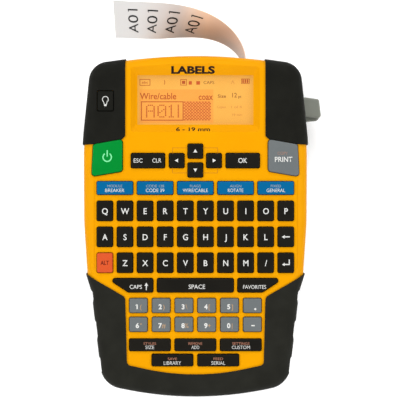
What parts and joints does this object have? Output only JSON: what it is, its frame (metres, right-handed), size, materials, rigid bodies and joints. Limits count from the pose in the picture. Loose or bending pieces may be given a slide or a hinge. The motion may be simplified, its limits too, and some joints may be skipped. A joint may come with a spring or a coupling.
{
  "type": "label maker",
  "caption": "Rugged handheld label maker with a backlit display, a full keyboard, rubber bumpers and a side cutter lever, a printed label curling out of its top edge.",
  "frame": {"origin": "on the surface it rests on, lying on its back, at the middle of the rest rib across its back", "axes": "+X to the right of the keyboard, +Y towards the edge the label comes out of, +Z out of the keyboard"},
  "size_m": [0.1256, 0.2053, 0.0585],
  "materials": {
    "housing_yellow": "satin moulded, deep yellow",
    "housing_charcoal": "fine grained, charcoal",
    "black_rubber": "fine stippled",
    "green_key": "satin",
    "grey_key": "satin",
    "blue_key": "satin",
    "black_key": "satin",
    "orange_key": "satin",
    "clear_window": "clear",
    "display": "amber backlit, glossy",
    "circuit_board": "solder mask",
    "grey_rubber": "translucent grey silicone",
    "steel": "brushed",
    "aluminium": "machined",
    "motor_can": "plated",
    "ceramic": "glazed",
    "white_tape": "satin label stock",
    "cassette_plastic": "smoked grey",
    "cell_wrap": "printed sleeve",
    "tray_plastic": "moulded",
    "gear_plastic": "natural acetal",
    "brass": "turned",
    "roller_rubber": "ground",
    "lever_plastic": "satin grey",
    "socket_plastic": "moulded"
  },
  "bodies": {
    "labeller": {"front_housing": "housing_yellow", "rear_housing": "housing_charcoal", "left_bumper": "black_rubber", "right_bumper": "black_rubber", "grip_bumper": "black_rubber", "display_window": "clear_window", "display_module": "display", "main_board": "circuit_board", "keypad_mat": "grey_rubber", "power_socket": "socket_plastic", "battery_cells": "cell_wrap", "battery_tray": "tray_plastic", "battery_contacts": "steel", "mechanism_plate": "steel", "feed_motor": "motor_can", "head_bracket": "aluminium", "print_head": "ceramic", "lever_pin": "steel", "lever_spring": "steel", "cutter_guide": "tray_plastic", "label_cassette": "cassette_plastic", "tape_roll": "white_tape", "label_tape": "white_tape", "housing_screws": "steel"},
    "power_key": {"power_key": "green_key"},
    "print_key": {"print_key": "grey_key"},
    "escape_clear_key": {"escape_clear_key": "black_key"},
    "ok_key": {"ok_key": "black_key"},
    "up_key": {"up_key": "black_key"},
    "down_key": {"down_key": "black_key"},
    "left_key": {"left_key": "black_key"},
    "right_key": {"right_key": "black_key"},
    "label_type_keys": {"label_type_keys": "blue_key"},
    "top_letter_keys": {"top_letter_keys": "black_key"},
    "middle_letter_keys": {"middle_letter_keys": "black_key"},
    "backspace_key": {"backspace_key": "black_key"},
    "alt_key": {"alt_key": "orange_key"},
    "bottom_letter_keys": {"bottom_letter_keys": "black_key"},
    "enter_key": {"enter_key": "black_key"},
    "caps_key": {"caps_key": "black_key"},
    "space_key": {"space_key": "black_key"},
    "favourites_key": {"favourites_key": "black_key"},
    "upper_number_keys": {"upper_number_keys": "grey_key"},
    "lower_number_keys": {"lower_number_keys": "grey_key"},
    "format_keys": {"format_keys": "black_key"},
    "library_keys": {"library_keys": "black_key"},
    "light_button": {"light_button": "black_rubber"},
    "cutter_lever": {"cutter_lever": "lever_plastic"},
    "blade_carriage": {"blade_carriage": "gear_plastic", "cutter_blade": "steel"},
    "platen": {"platen_roller": "roller_rubber", "platen_shaft": "steel", "platen_gear": "gear_plastic"},
    "idler": {"idler_gear": "gear_plastic"},
    "motor_pinion": {"motor_pinion": "brass"},
    "ribbon_spindle": {"ribbon_spindle": "gear_plastic"},
    "cassette_door": {"cassette_door": "housing_charcoal"},
    "battery_door": {"battery_door": "housing_charcoal"}
  },
  "joints": [
    {"name": "power_key_travel", "type": "slide", "parent": "labeller", "child": "power_key", "axis": [0, 0, -1], "range_m": [0, 0.0008], "stiffness_N_per_m": 1500, "springref_m": -0.0003},
    {"name": "print_key_travel", "type": "slide", "parent": "labeller", "child": "print_key", "axis": [0, 0, -1], "range_m": [0, 0.0008], "stiffness_N_per_m": 1500, "springref_m": -0.0003},
    {"name": "escape_clear_key_travel", "type": "slide", "parent": "labeller", "child": "escape_clear_key", "axis": [0, 0, -1], "range_m": [0, 0.0008], "stiffness_N_per_m": 1500, "springref_m": -0.0003},
    {"name": "ok_key_travel", "type": "slide", "parent": "labeller", "child": "ok_key", "axis": [0, 0, -1], "range_m": [0, 0.0008], "stiffness_N_per_m": 1500, "springref_m": -0.0003},
    {"name": "up_key_travel", "type": "slide", "parent": "labeller", "child": "up_key", "axis": [0, 0, -1], "range_m": [0, 0.0008], "stiffness_N_per_m": 1500, "springref_m": -0.0003},
    {"name": "down_key_travel", "type": "slide", "parent": "labeller", "child": "down_key", "axis": [0, 0, -1], "range_m": [0, 0.0008], "stiffness_N_per_m": 1500, "springref_m": -0.0003},
    {"name": "left_key_travel", "type": "slide", "parent": "labeller", "child": "left_key", "axis": [0, 0, -1], "range_m": [0, 0.0008], "stiffness_N_per_m": 1500, "springref_m": -0.0003},
    {"name": "right_key_travel", "type": "slide", "parent": "labeller", "child": "right_key", "axis": [0, 0, -1], "range_m": [0, 0.0008], "stiffness_N_per_m": 1500, "springref_m": -0.0003},
    {"name": "label_type_keys_travel", "type": "slide", "parent": "labeller", "child": "label_type_keys", "axis": [0, 0, -1], "range_m": [0, 0.0008], "stiffness_N_per_m": 1500, "springref_m": -0.0003},
    {"name": "top_letter_keys_travel", "type": "slide", "parent": "labeller", "child": "top_letter_keys", "axis": [0, 0, -1], "range_m": [0, 0.0008], "stiffness_N_per_m": 1500, "springref_m": -0.0003},
    {"name": "middle_letter_keys_travel", "type": "slide", "parent": "labeller", "child": "middle_letter_keys", "axis": [0, 0, -1], "range_m": [0, 0.0008], "stiffness_N_per_m": 1500, "springref_m": -0.0003},
    {"name": "backspace_key_travel", "type": "slide", "parent": "labeller", "child": "backspace_key", "axis": [0, 0, -1], "range_m": [0, 0.0008], "stiffness_N_per_m": 1500, "springref_m": -0.0003},
    {"name": "alt_key_travel", "type": "slide", "parent": "labeller", "child": "alt_key", "axis": [0, 0, -1], "range_m": [0, 0.0008], "stiffness_N_per_m": 1500, "springref_m": -0.0003},
    {"name": "bottom_letter_keys_travel", "type": "slide", "parent": "labeller", "child": "bottom_letter_keys", "axis": [0, 0, -1], "range_m": [0, 0.0008], "stiffness_N_per_m": 1500, "springref_m": -0.0003},
    {"name": "enter_key_travel", "type": "slide", "parent": "labeller", "child": "enter_key", "axis": [0, 0, -1], "range_m": [0, 0.0008], "stiffness_N_per_m": 1500, "springref_m": -0.0003},
    {"name": "caps_key_travel", "type": "slide", "parent": "labeller", "child": "caps_key", "axis": [0, 0, -1], "range_m": [0, 0.0008], "stiffness_N_per_m": 1500, "springref_m": -0.0003},
    {"name": "space_key_travel", "type": "slide", "parent": "labeller", "child": "space_key", "axis": [0, 0, -1], "range_m": [0, 0.0008], "stiffness_N_per_m": 1500, "springref_m": -0.0003},
    {"name": "favourites_key_travel", "type": "slide", "parent": "labeller", "child": "favourites_key", "axis": [0, 0, -1], "range_m": [0, 0.0008], "stiffness_N_per_m": 1500, "springref_m": -0.0003},
    {"name": "upper_number_keys_travel", "type": "slide", "parent": "labeller", "child": "upper_number_keys", "axis": [0, 0, -1], "range_m": [0, 0.0008], "stiffness_N_per_m": 1500, "springref_m": -0.0003},
    {"name": "lower_number_keys_travel", "type": "slide", "parent": "labeller", "child": "lower_number_keys", "axis": [0, 0, -1], "range_m": [0, 0.0008], "stiffness_N_per_m": 1500, "springref_m": -0.0003},
    {"name": "format_keys_travel", "type": "slide", "parent": "labeller", "child": "format_keys", "axis": [0, 0, -1], "range_m": [0, 0.0008], "stiffness_N_per_m": 1500, "springref_m": -0.0003},
    {"name": "library_keys_travel", "type": "slide", "parent": "labeller", "child": "library_keys", "axis": [0, 0, -1], "range_m": [0, 0.0008], "stiffness_N_per_m": 1500, "springref_m": -0.0003},
    {"name": "light_button_travel", "type": "slide", "parent": "labeller", "child": "light_button", "axis": [0, 0, -1], "range_m": [0, 0.0008], "stiffness_N_per_m": 1500, "springref_m": -0.0003},
    {"name": "cutter_lever_pivot", "type": "hinge", "parent": "labeller", "child": "cutter_lever", "pos_m": [0.042, 0.0655, 0.016], "axis": [0, 0, -1], "range_deg": [0, 17], "stiffness_Nm_per_rad": 0.4, "springref_deg": -8.59},
    {"name": "blade_carriage_slide", "type": "slide", "parent": "labeller", "child": "blade_carriage", "axis": [1, 0, 0], "range_m": [0, 0.0035]},
    {"name": "platen_spin", "type": "hinge", "parent": "labeller", "child": "platen", "pos_m": [0.0319, 0.066, 0.016], "axis": [0, 0, 1], "continuous": true},
    {"name": "idler_spin", "type": "hinge", "parent": "labeller", "child": "idler", "pos_m": [0.0324, 0.04802, 0.032], "axis": [0, 0, 1], "continuous": true},
    {"name": "motor_pinion_spin", "type": "hinge", "parent": "labeller", "child": "motor_pinion", "pos_m": [0.041, 0.035, 0.032], "axis": [0, 0, 1], "continuous": true},
    {"name": "ribbon_spindle_spin", "type": "hinge", "parent": "labeller", "child": "ribbon_spindle", "pos_m": [0.0135, 0.05135, 0.032], "axis": [0, 0, 1], "continuous": true},
    {"name": "cassette_door_hinge", "type": "hinge", "parent": "labeller", "child": "cassette_door", "pos_m": [-0.008, 0.01, 0.0019], "axis": [-1, 0, 0], "range_deg": [0, 100]},
    {"name": "battery_door_hinge", "type": "hinge", "parent": "labeller", "child": "battery_door", "pos_m": [0, -0.066, 0.0019], "axis": [-1, 0, 0], "range_deg": [0, 100]}
  ],
  "couplings": [
    {"joint": "blade_carriage_slide", "follows": "cutter_lever_pivot", "m_per_rad": 0.01145},
    {"joint": "idler_spin", "follows": "platen_spin", "ratio": -0.5},
    {"joint": "motor_pinion_spin", "follows": "platen_spin", "ratio": 1.6667},
    {"joint": "ribbon_spindle_spin", "follows": "platen_spin", "ratio": 0.83333}
  ]
}
